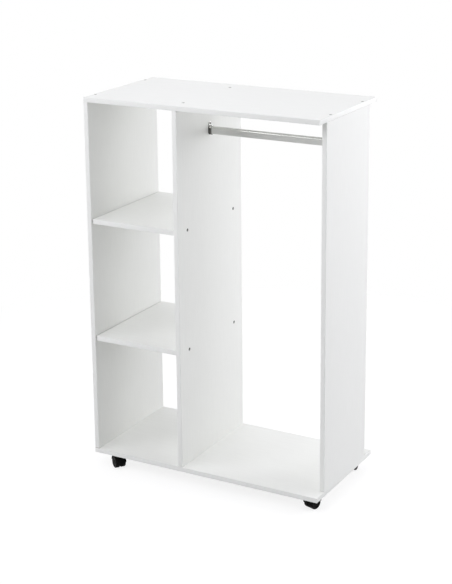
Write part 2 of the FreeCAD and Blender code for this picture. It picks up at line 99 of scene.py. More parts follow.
# Depth from the wall of the near-black band painted on each socket cup as contact shade
SEAT_SHADE_DEPTH = 2.7 * MM
PLATE_CORNER = 4.0 * MM
PLATE_ROUND = 0.35 * MM
HOLE_ROOM = 0.2 * MM
WEB_GAP = 0.5 * MM
WEB_MARGIN = 2.5 * MM
NECK_RADIUS = 5.5 * MM
GUARD_THICKNESS = 2.0 * MM
GUARD_LIFT = 2.0 * MM
MOULDED_ROUND = 0.6 * MM
MOULD_STEP = 0.1 * MM
PIN_RADIUS = 3.5 * MM
PIN_ROOM = 0.08 * MM
PIN_HOLE_OVERRUN = 1.0 * MM
AXLE_ROOM = 0.05 * MM
HUB_FLOOR = 2.0 * MM
HUB_RADIUS = 6.5 * MM
RIM = 4.5 * MM
DISH_DEPTH = 1.5 * MM
SHOULDER_INNER = 1.0 * MM
SHOULDER_OUTER = 3.0 * MM
WHEEL_LIP = 0.5 * MM
GROOVE_DEPTH = 0.35 * MM
GROOVE_WIDTH = 0.8 * MM
GROOVE_PLACES = (0.3, 0.5, 0.7)

# How finely round forms are drawn

TURN_STEPS = 64
FINE_TURN_STEPS = 96
OVAL_SIDES = 50
ARC_STEPS = 5
SHOULDER_STEPS = 8
BOSS_STEPS = 3
EASED_SEGMENTS = 3
GUARD_SEGMENTS = 4
PLATE_CORNER_SEGMENTS = 6
PLATE_ROUND_SEGMENTS = 2


# Modelling

def deselect():
    """Leave nothing selected."""
    bpy.ops.object.select_all(action="DESELECT")


def take(*pieces):
    """Select only these pieces and make the first one active."""
    deselect()
    for piece in pieces:
        piece.select_set(True)
    bpy.context.view_layer.objects.active = pieces[0]
    return pieces[0]


def settle():
    """Put the place and size of the new piece into its mesh."""
    bpy.ops.object.transform_apply(location=True, rotation=True, scale=True)
    return bpy.context.active_object


def edit(piece):
    """Go into edit mode with all of a piece selected."""
    take(piece)
    bpy.ops.object.mode_set(mode="EDIT")
    bpy.ops.mesh.select_mode(type="VERT")
    bpy.ops.mesh.select_all(action="SELECT")


def leave():
    """Go back from edit mode."""
    bpy.ops.object.mode_set(mode="OBJECT")


def push(step):
    """Extrude what is selected."""
    bpy.ops.mesh.extrude_region_move(TRANSFORM_OT_translate={"value": step})


def choose(piece, kind, test):
    """In edit mode, select only the vertices, edges or faces whose middle passes a test."""
    bpy.ops.mesh.select_mode(type=kind)
    bpy.ops.mesh.select_all(action="DESELECT")
    mesh = bmesh.from_edit_mesh(piece.data)
    elements = {"VERT": mesh.verts, "EDGE": mesh.edges, "FACE": mesh.faces}[kind]
    for element in elements:
        points = [element.co] if kind == "VERT" else [vert.co for vert in element.verts]
        if test(sum(points, Vector()) / len(points)):
            element.select = True
    mesh.select_flush_mode()
    bmesh.update_edit_mesh(piece.data)


def block(low, high):
    """Cube at its size and place."""
    deselect()
    bpy.ops.mesh.primitive_cube_add(size=1, location=(Vector(low) + Vector(high)) / 2)
    bpy.context.active_object.scale = Vector(high) - Vector(low)
    return settle()


def bar(radius, start, length, sides=TURN_STEPS, rotation=(0, 0, 0)):
    """Cylinder, or a prism of few sides, that runs up from its start or along its turned Z axis."""
    deselect()
    bpy.ops.mesh.primitive_cylinder_add(vertices=sides, radius=radius, depth=length, rotation=rotation)
    piece = bpy.context.active_object
    piece.location = Vector(start) + piece.rotation_euler.to_matrix() @ UP * length / 2
    return settle()


def ease(piece, width, test, segments=EASED_SEGMENTS):
    """Round the edges whose middle passes a test."""
    edit(piece)
    choose(piece, "EDGE", test)
    bpy.ops.mesh.bevel(offset=width, segments=segments, affect="EDGES")
    leave()
    return piece


def cut_below(piece, level):
    """Cut a piece level, drop what is below and close the cut."""
    edit(piece)
    bpy.ops.mesh.bisect(plane_co=level, plane_no=UP, use_fill=True, clear_inner=True)
    leave()
    return piece


def carve(piece, tool, operation="DIFFERENCE"):
    """Cut a tool out of a piece, or weld the tool to it."""
    take(piece)
    bpy.ops.object.modifier_add(type="BOOLEAN")
    boolean = piece.modifiers[-1]
    boolean.operation = operation
    boolean.solver = "EXACT"
    boolean.object = tool
    bpy.ops.object.modifier_apply(modifier=boolean.name)
    discard(tool)
    return heal(piece)


def heal(piece):
    """Merge doubles and point the faces outwards."""
    edit(piece)
    bpy.ops.mesh.remove_doubles(threshold=WELD)
    bpy.ops.mesh.normals_make_consistent(inside=False)
    leave()
    return piece


def turned(outline, steps=TURN_STEPS):
    """Piece turned about the Z axis from an outline of radius and height, traced with one vertex."""
    deselect()
    bpy.ops.mesh.primitive_plane_add(size=MM, location=(outline[0][0], 0, outline[0][1]))
    piece = settle()
    edit(piece)
    bpy.ops.mesh.merge(type="CENTER")
    for before, after in zip(outline, outline[1:]):
        push((after[0] - before[0], 0, after[1] - before[1]))
    bpy.ops.mesh.select_all(action="SELECT")
    bpy.ops.mesh.spin(steps=steps, angle=math.tau, center=(0, 0, 0), axis=UP)
    leave()
    return heal(piece)


def arc(middle, radius, start, end, steps=ARC_STEPS):
    """Points of an arc in an outline, with its angles in degrees."""
    angles = [math.radians(start + (end - start) * step / steps) for step in range(steps + 1)]
    return [(middle[0] + radius * math.cos(angle), middle[1] + radius * math.sin(angle))
            for angle in angles]


def copy_of(master, matrix):
    """Copy with its own mesh, in its place."""
    take(master)
    bpy.ops.object.duplicate(linked=False)
    bpy.context.active_object.matrix_world = matrix
    return settle()


def joined(pieces):
    """Several pieces as one mesh, in the first one."""
    take(*pieces)
    bpy.ops.object.join()
    return pieces[0]


def discard(*pieces):
    """Delete pieces that are no longer needed."""
    take(*pieces)
    bpy.ops.object.delete()


def coat(piece, finish):
    """Give one finish to all of a piece."""
    piece.data.materials.clear()
    piece.data.materials.append(finish)


def fit(piece, node, word, finish):
    """Finish a piece that stands for a CAD node: its name, material, shading and body, and hide the node."""
    piece.name = f"{node}_{word}"
    coat(piece, finish)
    take(piece)
    bpy.ops.object.shade_smooth_by_angle(angle=SMOOTH_ANGLE)
    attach(piece, NODES[node]["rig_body"])
    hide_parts(node)
    return piece


# Places read from the frame

def corners(points):
    """Lowest and highest corner of the box round some points."""
    return [Vector(pick(point[axis] for point in points) for axis in range(3)) for pick in (min, max)]


def own_box(node, matrix):
    """Lowest and highest corner of a CAD node in the frame of what carries it."""
    back = matrix.inverted()
    return corners([back @ vert.co for vert in NODES[node].data.vertices])


def solids_of(node):
    """Points of each separate solid of a CAD node."""
    mesh = bmesh.new()
    mesh.from_mesh(NODES[node].data)
    bmesh.ops.remove_doubles(mesh, verts=mesh.verts, dist=WELD)
    waiting = set(mesh.verts)
    solids = []
    while waiting:
        front = [waiting.pop()]
        points = []
        while front:
            vert = front.pop()
            points.append(vert.co.copy())
            near = {edge.other_vert(vert) for edge in vert.link_edges} & waiting
            waiting -= near
            front.extend(near)
        solids.append(points)
    mesh.free()
    return sorted(solids, key=lambda points: tuple(round(value, 6) for value in corners(points)[0]))


def screw_places(node):
    """Matrix of each screw of a group: its head's face at the origin, looking up."""
    places = []
    for points in solids_of(node):
        low, high = corners(points)
        along = max(range(3), key=lambda axis: high[axis] - low[axis])
        ends = []
        for corner in (low, high):
            end = (low + high) / 2
            end[along] = corner[along]
            near = [point for point in points if abs(point[along] - end[along]) < ON_PLANE]
            ends.append((max((point - end).length for point in near), end))
        tip, head = [end for radius, end in sorted(ends, key=lambda found: found[0])]
        turn = UP.rotation_difference(head - tip).to_matrix().to_4x4()
        places.append(Matrix.Translation(head) @ turn)
    return places


def castor_place(corner):
    """Matrix of a castor drawn with its kingpin at the origin and its axle towards +Y."""
    x, y = JOINTS[corner + "_swivel"]["pos_m"][:2]
    axle = JOINTS[corner + "_wheel_right_spin"]["axis"]
    return Matrix.Translation((x, y, 0)) @ Matrix.Rotation(math.atan2(axle[1], axle[0]), 4, "Z")


# Finishes: each colour has a dark and a light tone, and noise scales are per metre

WHITE = ((0.853, 0.858, 0.832), (0.873, 0.878, 0.852))
# Bare particleboard, darker than its own tone so that joint gaps show painted shade
BARE_PARTICLES_AND_GAP_SHADE = ((0.12, 0.10, 0.07), (0.30, 0.25, 0.18))
SILVER = ((0.63, 0.635, 0.61), (0.69, 0.695, 0.67))
# Lighter coat painted on the rail's ends, as painted light where the panels shade them
END_LIGHTENED_SILVER = ((0.76, 0.765, 0.74), (0.82, 0.825, 0.80))
# Painted highlight colour for the shoulders of the rail and the socket cups
SHEEN_BRIGHT = ((0.68, 0.685, 0.66), (0.74, 0.745, 0.72))
GUNMETAL = ((0.13, 0.13, 0.12), (0.19, 0.19, 0.18))
EAR_GREY = ((0.50, 0.50, 0.48), (0.58, 0.58, 0.56))
# Steel darkened as painted shade, for the connector screws below the top and the socket screws
SHADE_DARK_STEEL = ((0.10, 0.10, 0.095), (0.16, 0.16, 0.15))
SCREW_GREY = ((0.30, 0.30, 0.29), (0.40, 0.40, 0.39))
ZINC = ((0.40, 0.40, 0.39), (0.50, 0.50, 0.49))
# Near-black painted shade for the socket cups against the wall
SEAT_SHADE_BLACK = ((0.006, 0.006, 0.005), (0.012, 0.012, 0.010))
BLACK = ((0.002, 0.002, 0.002), (0.004, 0.004, 0.004))
BOARD_FIBRES = 260
BOARD_PRESSING = 900
PARTICLES = 700
TRIMMING_MARKS = 700
DRAWN_MARKS = 2200
PATCHES = 60
PLASTIC_PATCHES = 90
NOISE_RANGE = (0.3, 0.7)
TONE_STOPS = (0.35, 0.65)
SAWN_BELOW = 0.5
BOARD_SHINE = 0.2
EDGING_SHINE = 0.3
PLASTIC_SHINE = 0.06
EVEN = (1, 1, 1)
ALONG_X = (0.06, 1, 1)
ALONG_Z = (1, 1, 0.06)
DRAWN_ALONG_X = (0.01, 1, 1)
ROLLED_ALONG_Y = (1, 0.1, 1)
# Length over which the rail's ends are painted lighter
END_LIGHTENING_LENGTH = 100 * MM
# How much smoother the painted highlight band on the shoulders is
SHEEN_SMOOTHER = 0.14

# How far a face looks up, and how much painted highlight it gets there: a bright band on the shoulders, none
# on the flats and the crown
PAINTED_SHEEN_BY_TILT = ((0.06, 0.0), (0.16, 1.0), (0.70, 1.0), (0.86, 0.0))

# Colour sockets of the mix node, which share their names with its number sockets
MIX_FIRST, MIX_SECOND, MIX_RESULT = 6, 7, 2


def new_finish(name):
    """New material, its node tree and its shader."""
    material = bpy.data.materials.new(name)
    material.use_nodes = True
    return material, material.node_tree, material.node_tree.nodes["Principled BSDF"]


def add(tree, kind, links=None, **settings):
    """New node, with its settings, its numbers and what is linked to it."""
    node = tree.nodes.new(kind)
    for name, value in settings.items():
        setattr(node, name, value)
    for name, value in (links or {}).items():
        if isinstance(value, bpy.types.NodeSocket):
            tree.links.new(value, node.inputs[name])
        else:
            node.inputs[name].default_value = value
    return node


def grain(tree, scale, detail=3, stretch=EVEN):
    """Noise on Object coordinates, with a stretch for each axis."""
    place = add(tree, "ShaderNodeTexCoord").outputs["Object"]
    mapped = add(tree, "ShaderNodeMapping", {"Vector": place, "Scale": stretch}).outputs["Vector"]
    noise = add(tree, "ShaderNodeTexNoise", {"Vector": mapped, "Scale": scale, "Detail": detail})
    return noise.outputs["Fac"]


def spread(tree, factor, low, high):
    """Range of a number from a noise."""
    node = add(tree, "ShaderNodeMapRange", {
        "Value": factor, "From Min": NOISE_RANGE[0], "From Max": NOISE_RANGE[1],
        "To Min": low, "To Max": high})
    return node.outputs["Result"]


def tint(tree, factor, tones):
    """Colour between two tones, from a noise."""
    ramp = add(tree, "ShaderNodeValToRGB", {"Fac": factor})
    for element, tone, place in zip(ramp.color_ramp.elements, tones, TONE_STOPS):
        element.color = (*tone, 1)
        element.position = place
    return ramp.outputs["Color"]


def blend(tree, factor, first, second):
    """Colour that goes from the first to the second as the factor rises."""
    mix = add(tree, "ShaderNodeMix", {"Factor": factor}, data_type="RGBA")
    tree.links.new(first, mix.inputs[MIX_FIRST])
    tree.links.new(second, mix.inputs[MIX_SECOND])
    return mix.outputs[MIX_RESULT]


def relief(tree, shader, height, distance, strength):
    """Fine bumps of a noise on a shader."""
    bump = add(tree, "ShaderNodeBump", {"Height": height, "Distance": distance, "Strength": strength})
    tree.links.new(bump.outputs["Normal"], shader.inputs["Normal"])


def melamine(name, stretch, face):
    """White facing with a faint pressed grain along the board, and bare particles on its sawn edges,
    darkened beyond their own tone as painted shade in the joint gaps.
    """
    material, tree, shader = new_finish(name)
    fibres = grain(tree, BOARD_FIBRES, detail=4, stretch=stretch)
    facing = tint(tree, fibres, WHITE)
    particles = tint(tree, grain(tree, PARTICLES, detail=5), BARE_PARTICLES_AND_GAP_SHADE)
    normal = add(tree, "ShaderNodeTexCoord").outputs["Normal"]
    across = add(tree, "ShaderNodeVectorMath", {0: normal, 1: face}, operation="DOT_PRODUCT")
    faced = add(tree, "ShaderNodeMath", {0: across.outputs["Value"]}, operation="ABSOLUTE").outputs[0]
    bare = add(tree, "ShaderNodeMath", {0: faced, 1: SAWN_BELOW}, operation="LESS_THAN").outputs[0]
    tree.links.new(blend(tree, bare, facing, particles), shader.inputs["Base Color"])
    tree.links.new(spread(tree, fibres, 0.52, 0.62), shader.inputs["Roughness"])
    pressing = grain(tree, BOARD_PRESSING, detail=4, stretch=stretch)
    relief(tree, shader, pressing, distance=0.05 * MM, strength=0.35)
    shader.inputs["Specular IOR Level"].default_value = BOARD_SHINE
    return material


def edging_plastic():
    """White strip with fine marks from its trimming."""
    material, tree, shader = new_finish("edging_plastic")
    marks = grain(tree, TRIMMING_MARKS)
    tree.links.new(tint(tree, marks, WHITE), shader.inputs["Base Color"])
    tree.links.new(spread(tree, marks, 0.42, 0.52), shader.inputs["Roughness"])
    relief(tree, shader, marks, distance=0.03 * MM, strength=0.4)
    shader.inputs["Specular IOR Level"].default_value = EDGING_SHINE
    return material


def plated_metal(name, tones, roughness, stretch=EVEN):
    """Plated metal with fine marks, drawn out along its stretch, and duller patches."""
    material, tree, shader = new_finish(name)
    marks = grain(tree, DRAWN_MARKS, stretch=stretch)
    tree.links.new(tint(tree, marks, tones), shader.inputs["Base Color"])
    tree.links.new(spread(tree, grain(tree, PATCHES), *roughness), shader.inputs["Roughness"])
    relief(tree, shader, marks, distance=0.005 * MM, strength=0.1)
    shader.inputs["Metallic"].default_value = 1.0
    return material


def painted_sheen_metal(name, body_tones, lightened_end_tones, metallic, roughness):
    """Coated metal with a painted highlight: bright, more metallic and smoother on its shoulders where a
    reflection band falls, and a coat painted lighter near the rail's ends, as painted light where the
    divider and the side panel shade them.
    """
    material, tree, shader = new_finish(name)
    streaks = grain(tree, DRAWN_MARKS, stretch=DRAWN_ALONG_X)
    normal = add(tree, "ShaderNodeTexCoord").outputs["Normal"]
    upward = add(tree, "ShaderNodeSeparateXYZ", {"Vector": normal}).outputs["Z"]
    # Painted highlight: a mask from how far the face looks up
    ramp = add(tree, "ShaderNodeValToRGB", {"Fac": upward})
    for place, share in PAINTED_SHEEN_BY_TILT:
        stop = ramp.color_ramp.elements.new(place)
        stop.color = (share, share, share, 1)
    sheen = ramp.outputs["Color"]
    # Painted light: the coat gets lighter towards both ends of the rail
    low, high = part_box("clothes_rail")
    middle = (low.x + high.x) / 2
    along = add(tree, "ShaderNodeTexCoord").outputs["Object"]
    along = add(tree, "ShaderNodeSeparateXYZ", {"Vector": along}).outputs["X"]
    away = add(tree, "ShaderNodeMath", {0: along, 1: middle}, operation="SUBTRACT").outputs[0]
    away = add(tree, "ShaderNodeMath", {0: away}, operation="ABSOLUTE").outputs[0]
    end = (high.x - low.x) / 2
    end_lightening = add(tree, "ShaderNodeMapRange", {
        "Value": away, "From Min": end - END_LIGHTENING_LENGTH, "From Max": end - END_LIGHTENING_LENGTH / 4})
    body_colour = blend(tree, end_lightening.outputs["Result"], tint(tree, streaks, body_tones), tint(tree, streaks, lightened_end_tones))
    colour = blend(tree, sheen, body_colour, tint(tree, streaks, SHEEN_BRIGHT))
    tree.links.new(colour, shader.inputs["Base Color"])
    sheen_metallic = add(tree, "ShaderNodeMapRange", {"Value": sheen, "To Min": metallic, "To Max": 1.0})
    tree.links.new(sheen_metallic.outputs["Result"], shader.inputs["Metallic"])
    dull = spread(tree, grain(tree, PATCHES), *roughness)
    rough = add(tree, "ShaderNodeMath", {0: sheen, 1: -SHEEN_SMOOTHER, 2: dull},
                operation="MULTIPLY_ADD")
    tree.links.new(rough.outputs[0], shader.inputs["Roughness"])
    relief(tree, shader, streaks, distance=0.005 * MM, strength=0.1)
    return material


def black_plastic(name, tones, roughness, spark):
    """Black moulded plastic with a fine spark grain and dull patches."""
    material, tree, shader = new_finish(name)
    tree.links.new(tint(tree, grain(tree, PATCHES), tones), shader.inputs["Base Color"])
    tree.links.new(spread(tree, grain(tree, PLASTIC_PATCHES), *roughness), shader.inputs["Roughness"])
    relief(tree, shader, grain(tree, spark, detail=2), distance=0.05 * MM, strength=0.5)
    shader.inputs["Specular IOR Level"].default_value = PLASTIC_SHINE
    return material


UPRIGHT_BOARD = melamine("melamine_upright", stretch=ALONG_Z, face=(1, 0, 0))
FLAT_BOARD = melamine("melamine_flat", stretch=ALONG_X, face=(0, 0, 1))
EDGING = edging_plastic()
# The rail and the socket cups carry a painted highlight band on their shoulders
RAIL_LACQUER = painted_sheen_metal("rail_lacquer", SILVER, END_LIGHTENED_SILVER, metallic=0.08, roughness=(0.34, 0.42))
SOCKET_METAL = painted_sheen_metal("socket_metal", GUNMETAL, GUNMETAL, metallic=1.0, roughness=(0.30, 0.38))
EAR_METAL = plated_metal("ear_metal", EAR_GREY, roughness=(0.36, 0.46))
# Near-black finish used as painted contact shade on the socket cups
PAINTED_SEAT_SHADE = black_plastic("socket_seat", SEAT_SHADE_BLACK, roughness=(0.45, 0.60), spark=1500)
# Darker connector steel, used as painted shade on screws that sit in shade
SHADED_CONNECTOR_STEEL = plated_metal("connector_steel", SHADE_DARK_STEEL, roughness=(0.34, 0.48))
SCREW_STEEL = plated_metal("screw_steel", SCREW_GREY, roughness=(0.30, 0.45))
CASTOR_STEEL = plated_metal("castor_steel", ZINC, roughness=(0.32, 0.46), stretch=ROLLED_ALONG_Y)
HOOD_PLASTIC = black_plastic("hood_plastic", BLACK, roughness=(0.50, 0.62), spark=1800)
WHEEL_PLASTIC = black_plastic("wheel_plastic", BLACK, roughness=(0.42, 0.56), spark=1200)


# Boards and their edging

BOARDS = {
    "top_panel": FLAT_BOARD,
    "bottom_panel": FLAT_BOARD,
    "lower_shelf": FLAT_BOARD,
    "upper_shelf": FLAT_BOARD,
    "left_side_panel": UPRIGHT_BOARD,
    "divider_panel": UPRIGHT_BOARD,
    "right_side_panel": UPRIGHT_BOARD,
}


def edging(board):
    """Edging strips of one board, each with its outer edges rounded, some cut a little short at the foot to
    show a painted shade line there.
    """
    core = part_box(board)
    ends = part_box(board + "_edging")
    ends[0].z += EDGING_SHORT.get(board, 0)
    strips = []
    for axis in (1, 0):
        for side in (0, 1):
            if abs(core[side][axis] - ends[side][axis]) < ON_PLANE:
                continue
            low, high = ends[0].copy(), ends[1].copy()
            if axis == 0:
                low.y, high.y = core[0].y, core[1].y
            (high, low)[side][axis] = core[side][axis]
            strips.append(ease(block(low, high), EDGING_ROUND,
                               lambda middle: abs(middle[axis] - ends[side][axis]) < ON_PLANE))
    fit(joined(strips), board + "_edging", "strips", EDGING)


for board, facing in BOARDS.items():
    coat(NODES[board], facing)
    edging(board)


# Screws

def connector_screw(length, radius):
    """Connector screw with a sunk head and a hexagon socket."""
    shank = CONNECTOR_SHANK / 2
    screw = turned([
        (0, -length), (CONNECTOR_TIP / 2, -length), (shank, CONNECTOR_POINT - length),
        (shank, -CONNECTOR_HEAD), (radius, -CONNECTOR_BROKEN_EDGE),
        (radius - CONNECTOR_BROKEN_EDGE, 0), (0, 0)])
    key = bar(CONNECTOR_HEXAGON / math.sqrt(3), (0, 0, -CONNECTOR_HEXAGON_DEPTH),
              2 * CONNECTOR_HEXAGON_DEPTH, sides=6)
    return carve(screw, key)


def pan_screw(length, radius):
    """Small screw with a rounded pan head and a cross recess."""
    shank = SCREW_SHANK / 2
    screw = turned([
        (0, -length), (SCREW_TIP / 2, -length), (shank, SCREW_POINT - length), (shank, -SCREW_HEAD),
        (radius, -SCREW_HEAD),
        *arc((radius - SCREW_HEAD_ROUND, -SCREW_HEAD_ROUND), SCREW_HEAD_ROUND, 0, 90), (0, 0)])
    for reach in ((CROSS_LENGTH, CROSS_WIDTH), (CROSS_WIDTH, CROSS_LENGTH)):
        across = Vector((*reach, 2 * CROSS_DEPTH)) / 2
        carve(screw, block(-across, across))
    return screw


def screw_group(node, make, finish):
    """All screws of a CAD node, from one master."""
    places = screw_places(node)
    own = places[0].inverted()
    low, high = corners([own @ point for point in solids_of(node)[0]])
    master = make(-low.z, high.x)
    screws = [copy_of(master, place) for place in places]
    discard(master)
    return fit(joined(screws), node, "set", finish)


def paint(piece, finish, test):
    """Give another finish to the faces whose middle passes a test."""
    piece.data.materials.append(finish)
    edit(piece)
    choose(piece, "FACE", test)
    piece.active_material_index = len(piece.data.materials) - 1
    bpy.ops.object.material_slot_assign()
    leave()


# One kind of connector screw in two tones: those in the top are lighter, the rest darker as painted shade
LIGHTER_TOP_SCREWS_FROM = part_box("upper_shelf")[1].z
for upright in ("left_side", "divider", "right_side"):
    group = screw_group(upright + "_connector_screws", connector_screw, SHADED_CONNECTOR_STEEL)
    paint(group, SCREW_STEEL, lambda point: point.z > LIGHTER_TOP_SCREWS_FROM)


# Clothes rail and its sockets

def oval(middle, height, depth, filled):
    """Upright oval across the X axis, left in edit mode: a circle with its halves drawn apart."""
    deselect()
    bpy.ops.mesh.primitive_circle_add(
        vertices=OVAL_SIDES, radius=depth / 2, fill_type="NGON" if filled else "NOTHING",
        location=middle, rotation=(math.pi / 2, 0, math.pi / 2))
    piece = settle()
    edit(piece)
    for sign in (1, -1):
        choose(piece, "VERT", lambda point: sign * (point.z - middle[2]) > 0)
        bpy.ops.transform.translate(value=(0, 0, sign * (height - depth) / 2))
    bpy.ops.mesh.select_mode(type="FACE" if filled else "EDGE")
    bpy.ops.mesh.select_all(action="SELECT")
    return piece


def clothes_rail():
    """Oval tube, open at both ends."""
    low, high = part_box("clothes_rail")
    middle = (low + high) / 2
    tube = oval((low.x, middle.y, middle.z), high.z - low.z, high.y - low.y, filled=False)
    push((high.x - low.x, 0, 0))
    leave()
    heal(tube)
    bpy.ops.object.modifier_add(type="SOLIDIFY")
    wall = tube.modifiers[-1]
    wall.thickness = RAIL_WALL
    wall.offset = -1
    wall.use_even_offset = True
    bpy.ops.object.modifier_apply(modifier=wall.name)
    fit(tube, "clothes_rail", "tube", RAIL_LACQUER)


def rail_socket():
    """Socket at the origin: a cup open along +X and a screw ear above it."""
    low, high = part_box("rail_socket_left")
    rail_low, rail_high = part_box("clothes_rail")
    rail_middle = (rail_low.z + rail_high.z) / 2
    length = high.x - low.x
    depth = high.y - low.y
    wall = (depth - (rail_high.y - rail_low.y)) / 2
    cup = oval((0, 0, 0), 2 * (rail_middle - low.z), depth, filled=True)
    push((length, 0, 0))
    choose(cup, "FACE", lambda middle: abs(middle.x - length) < ON_PLANE)
    bpy.ops.mesh.inset(thickness=wall)
    push((SOCKET_FLOOR - length, 0, 0))
    leave()
    heal(cup)
    ease(cup, SOCKET_ROUND, lambda middle: abs(middle.x - length) < ON_PLANE)
    ear_top = high.z - rail_middle
    ear = oval((0, 0, ear_top / 2), ear_top, SOCKET_EAR_WIDTH, filled=True)
    push((SOCKET_EAR_THICKNESS, 0, 0))
    leave()
    heal(ear)
    ease(ear, SOCKET_ROUND, lambda middle: abs(middle.x - SOCKET_EAR_THICKNESS) < ON_PLANE)
    carve(cup, ear, "UNION")
    origin = Vector((low.x, 0, rail_middle))
    for place in screw_places("rail_socket_screws_left"):
        spot = place.translation - origin
        carve(cup, bar(SCREW_SHANK / 2 + HOLE_ROOM, (-SOCKET_FLOOR, spot.y, spot.z), 3 * SOCKET_FLOOR,
                       rotation=ACROSS))
    # Split the cup where the painted shade band at the wall ends
    edit(cup)
    bpy.ops.mesh.bisect(plane_co=(SEAT_SHADE_DEPTH, 0, 0), plane_no=(1, 0, 0))
    leave()
    return cup


def rail_sockets():
    """Both sockets with their ears and screws, and a near-black band painted at the wall as contact shade.
    """
    master = rail_socket()
    middle = sum(corner.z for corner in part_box("clothes_rail")) / 2
    ear_foot = 2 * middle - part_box("rail_socket_left")[0].z
    for side, end, turn in (("left", 0, 0), ("right", 1, math.pi)):
        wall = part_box("rail_socket_" + side)[end].x
        place = Matrix.Translation((wall, 0, middle)) @ Matrix.Rotation(turn, 4, "Z")
        cup = fit(copy_of(master, place), "rail_socket_" + side, "cup", SOCKET_METAL)
        # Painted shade: a near-black band on the cup next to the wall
        paint(cup, PAINTED_SEAT_SHADE, lambda point: abs(point.x - wall) < SEAT_SHADE_DEPTH)
        paint(cup, EAR_METAL, lambda point: point.z > ear_foot)
        # Socket screws in the darker connector steel, as painted shade
        screw_group("rail_socket_screws_" + side, pan_screw, SHADED_CONNECTOR_STEEL)
    discard(master)


clothes_rail()
rail_sockets()


# Castors, drawn with the kingpin at the origin and the axle towards +Y

CORNERS = ("front_left", "front_right", "rear_left", "rear_right")
HOME = castor_place(CORNERS[0])
WHEEL_LOW, WHEEL_HIGH = own_box(CORNERS[0] + "_castor_wheel_right", HOME)
HOOD_LOW, HOOD_HIGH = own_box(CORNERS[0] + "_castor_hood", HOME)
PIN_LOW = own_box(CORNERS[0] + "_castor_kingpin", HOME)[0]
AXLE_LOW, AXLE_HIGH = own_box(CORNERS[0] + "_castor_axle", HOME)
WHEEL_RADIUS = (WHEEL_HIGH.z - WHEEL_LOW.z) / 2
AXLE_PLACE = Vector((0, (WHEEL_LOW.y + WHEEL_HIGH.y) / 2, WHEEL_RADIUS))
AXLE_RADIUS = (AXLE_HIGH.z - AXLE_LOW.z) / 2
GUARD_LEVEL = AXLE_PLACE + UP * GUARD_LIFT
GUARD_RADIUS = math.hypot(HOOD_HIGH.y - AXLE_PLACE.y, GUARD_LIFT)


def wheel():
    """Wheel on the +X side, turned about its axle: grooved tread, dished outer face and raised hub."""
    inner, outer = WHEEL_LOW.x, WHEEL_HIGH.x
    hole = AXLE_RADIUS + AXLE_ROOM
    hole_end = outer - HUB_FLOOR
    rim = WHEEL_RADIUS - RIM
    dish = outer - DISH_DEPTH
    lip = WHEEL_LIP
    groove = GROOVE_WIDTH
    groove_floor = WHEEL_RADIUS - GROOVE_DEPTH
    tread = []
    for share in GROOVE_PLACES:
        place = inner + (outer - inner) * share
        tread += [(WHEEL_RADIUS, place - groove / 2), (groove_floor, place - groove / 4),
                  (groove_floor, place + groove / 4), (WHEEL_RADIUS, place + groove / 2)]
    shape = turned([
        (0, hole_end), (hole, hole_end), (hole, inner + lip), (hole + lip, inner),
        *arc((WHEEL_RADIUS - SHOULDER_INNER, inner + SHOULDER_INNER), SHOULDER_INNER, -90, 0),
        *tread,
        *arc((WHEEL_RADIUS - SHOULDER_OUTER, outer - SHOULDER_OUTER), SHOULDER_OUTER, 0, 90,
             SHOULDER_STEPS),
        (rim + lip, outer), (rim, outer - lip / 2), (rim - DISH_DEPTH / 2, dish + lip / 2),
        (rim - DISH_DEPTH, dish), (HUB_RADIUS + DISH_DEPTH, dish), (HUB_RADIUS + lip, dish + lip / 2),
        (HUB_RADIUS, outer - lip), (HUB_RADIUS - lip / 2, outer - lip / 3),
        (HUB_RADIUS - 2 * lip, outer), (HUB_RADIUS - 3 * lip, outer - lip / 2),
        (HUB_RADIUS - 4 * lip, outer - lip / 2), (HUB_RADIUS - 5 * lip, outer - lip / 4), (0, outer)],
        FINE_TURN_STEPS)
    shape.matrix_world = Matrix.Translation(AXLE_PLACE) @ Matrix.Rotation(math.pi / 2, 4, "Y")
    take(shape)
    return settle()


def guard():
    """Curved shell over both wheels, swept round the axle and cut level above it."""
    middle = GUARD_RADIUS - GUARD_THICKNESS / 2
    deselect()
    bpy.ops.mesh.primitive_plane_add(size=1, location=AXLE_PLACE + Vector((0, middle, 0)))
    bpy.context.active_object.scale = (HOOD_HIGH.x - HOOD_LOW.x, GUARD_THICKNESS, 1)
    shell = settle()
    edit(shell)
    bpy.ops.mesh.bevel(offset=MOULDED_ROUND, segments=GUARD_SEGMENTS, affect="VERTICES")
    bpy.ops.mesh.select_all(action="SELECT")
    bpy.ops.mesh.delete(type="ONLY_FACE")
    bpy.ops.mesh.select_all(action="SELECT")
    bpy.ops.mesh.spin(steps=FINE_TURN_STEPS, angle=math.tau, center=AXLE_PLACE, axis=(1, 0, 0))
    leave()
    return heal(cut_below(shell, GUARD_LEVEL))


def axle_bar(radius, half, sides=TURN_STEPS):
    """Cylinder along the axle that reaches as far to one side as to the other."""
    return bar(radius, AXLE_PLACE - Vector((half, 0, 0)), 2 * half, sides, ACROSS)


